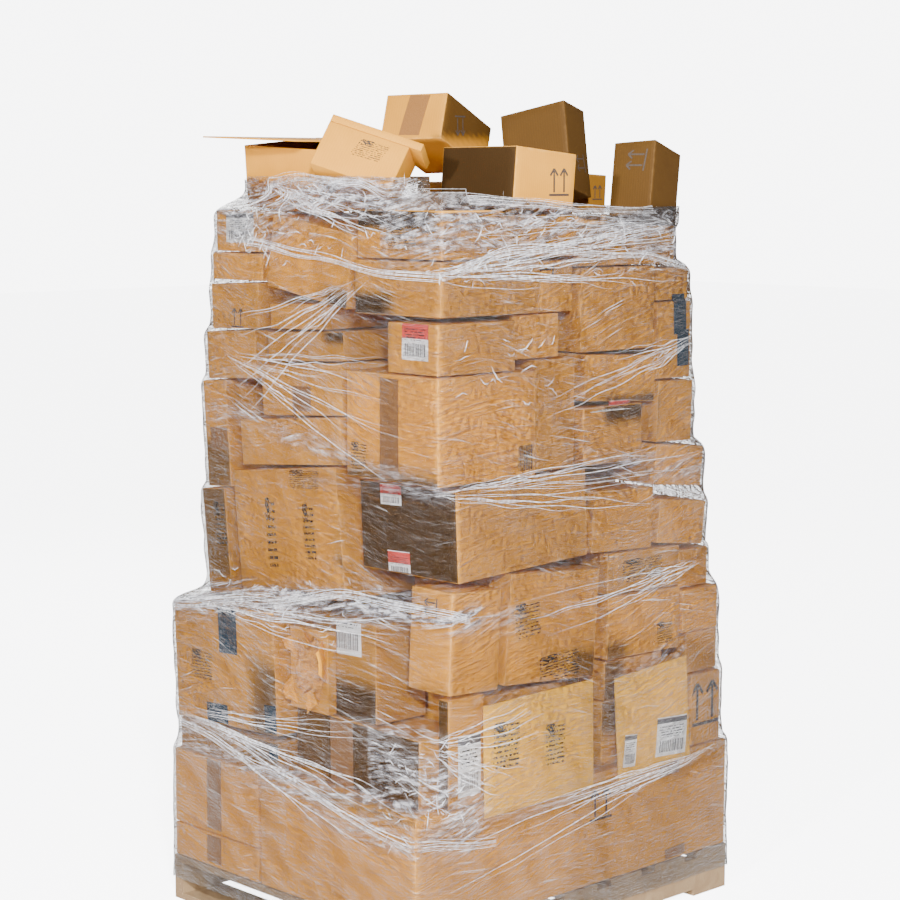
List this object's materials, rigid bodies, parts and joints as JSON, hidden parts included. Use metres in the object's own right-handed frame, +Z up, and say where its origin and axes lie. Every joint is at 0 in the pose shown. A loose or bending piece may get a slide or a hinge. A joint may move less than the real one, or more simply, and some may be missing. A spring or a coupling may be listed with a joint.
{
  "type": "shrink wrapped pallet load",
  "caption": "Wooden pallet stacked tall with a large base carton, mixed shipping cartons and padded mailers, held together by clear stretch film.",
  "frame": {"origin": "middle of the footprint on the floor", "axes": "+Z up, X along the pallet's long side, -Y out of the front face"},
  "size_m": [1.2218, 1.0428, 2.272],
  "materials": {
    "pallet_wood": "rough sawn softwood",
    "base_cardboard": "plain kraft board",
    "cardboard": "plain kraft board",
    "mailer_paper": "matte kraft paper",
    "stretch_film": "clear glossy stretch film",
    "packing_paper": "crumpled kraft paper"
  },
  "bodies": {
    "root": {"base_carton": "base_cardboard", "base_side_cartons": "base_cardboard", "crumpled_paper": "packing_paper", "end_stack": "cardboard", "end_top_carton": "cardboard", "film_band_1": "stretch_film", "film_band_2": "stretch_film", "film_band_3": "stretch_film", "film_band_4": "stretch_film", "film_band_5": "stretch_film", "film_band_6": "stretch_film", "film_band_7": "stretch_film", "film_band_8": "stretch_film", "front_end_stack": "cardboard", "front_middle_stack": "cardboard", "hidden_core": "cardboard", "leaning_top_carton": "cardboard", "left_end_stack": "cardboard", "left_low_cartons": "cardboard", "left_middle_stack": "cardboard", "near_corner_tier_1": "cardboard", "near_corner_tier_2": "cardboard", "near_corner_tier_3": "cardboard", "near_corner_tier_4": "cardboard", "near_corner_tier_5": "cardboard", "near_corner_tier_6": "cardboard", "near_corner_tier_7": "cardboard", "open_top_carton": "cardboard", "padded_mailer_narrow": "mailer_paper", "padded_mailer_wide": "mailer_paper", "pallet_bottom_boards": "pallet_wood", "pallet_stringer_far": "pallet_wood", "pallet_stringer_middle": "pallet_wood", "pallet_stringer_near": "pallet_wood", "pallet_top_boards": "pallet_wood", "rear_stack": "cardboard", "small_top_carton_1": "cardboard", "small_top_carton_2": "cardboard", "taped_top_carton": "cardboard", "tilted_lid_carton": "cardboard", "torn_carton": "cardboard", "wrapped_top_carton": "cardboard"}
  },
  "joints": []
}
